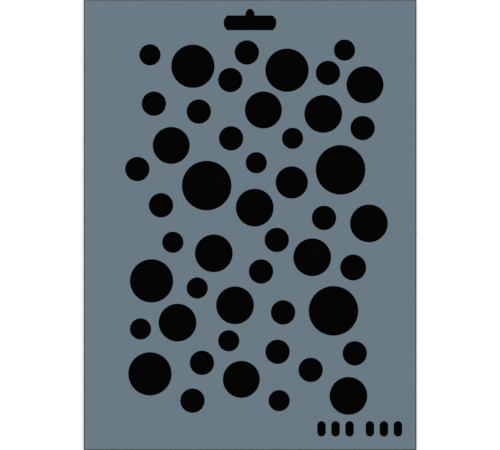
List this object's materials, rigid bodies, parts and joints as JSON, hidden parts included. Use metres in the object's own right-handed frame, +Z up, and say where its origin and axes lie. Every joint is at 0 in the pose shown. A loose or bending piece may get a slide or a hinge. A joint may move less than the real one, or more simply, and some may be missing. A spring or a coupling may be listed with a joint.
{
  "type": "circle template",
  "caption": "Flat plastic drawing template with round cut-outs in several sizes and a hang slot, on a black backing card it lifts off.",
  "frame": {"origin": "centre of the underside of the backing card", "axes": "+Z up through the card and the sheet, +Y along the sheet towards the hang slot, +X to the right with the hang slot at the head"},
  "size_m": [0.211, 0.286, 0.0021],
  "materials": {
    "sheet_plastic": "matte grey-blue sheet plastic, die-cut",
    "black_card": "dull black solid card",
    "glue_dot": "clear removable adhesive gel"
  },
  "bodies": {
    "card": {"backing_card": "black_card", "glue_dot_head_left": "glue_dot", "glue_dot_head_right": "glue_dot", "glue_dot_foot_left": "glue_dot", "glue_dot_foot_right": "glue_dot"},
    "template": {"template_sheet": "sheet_plastic"}
  },
  "joints": [
    {"name": "template_lift", "type": "slide", "parent": "card", "child": "template", "axis": [0, 0, 1], "range_m": [0, 0.05]}
  ]
}
